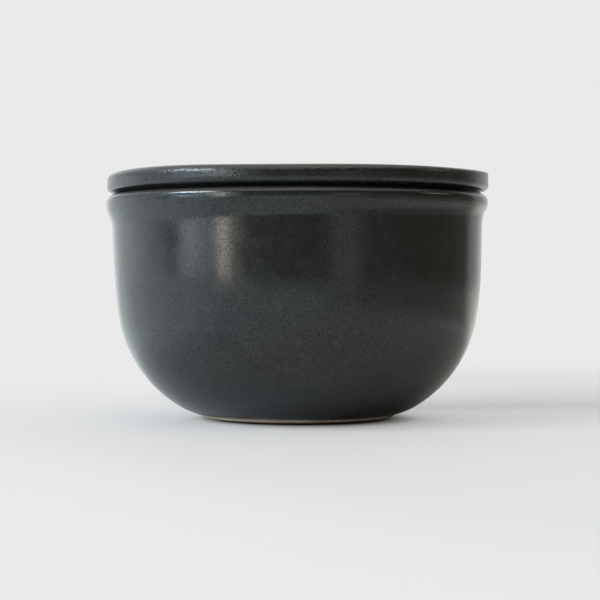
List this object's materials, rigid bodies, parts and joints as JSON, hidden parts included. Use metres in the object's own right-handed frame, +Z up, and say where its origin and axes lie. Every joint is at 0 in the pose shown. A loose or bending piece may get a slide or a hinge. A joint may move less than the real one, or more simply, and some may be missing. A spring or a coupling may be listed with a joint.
{
  "type": "sugar bowl",
  "caption": "Round dark-glazed stoneware bowl with a rolled lip and bare foot, closed by a loose flat disc lid centred by a ring.",
  "frame": {"origin": "centre of the foot ring, on the table plane", "axes": "+Z up along the bowl's axis of symmetry; -Y is the side the viewer faces; X and Y are otherwise free"},
  "size_m": [0.105, 0.105, 0.0674],
  "materials": {
    "charcoal_glaze": "satin"
  },
  "bodies": {
    "bowl": {"bowl": "charcoal_glaze"},
    "lid": {"lid": "charcoal_glaze"}
  },
  "joints": [
    {"name": "lid_lift", "type": "slide", "parent": "bowl", "child": "lid", "axis": [0, 0, 1], "range_m": [0, 0.035]}
  ]
}
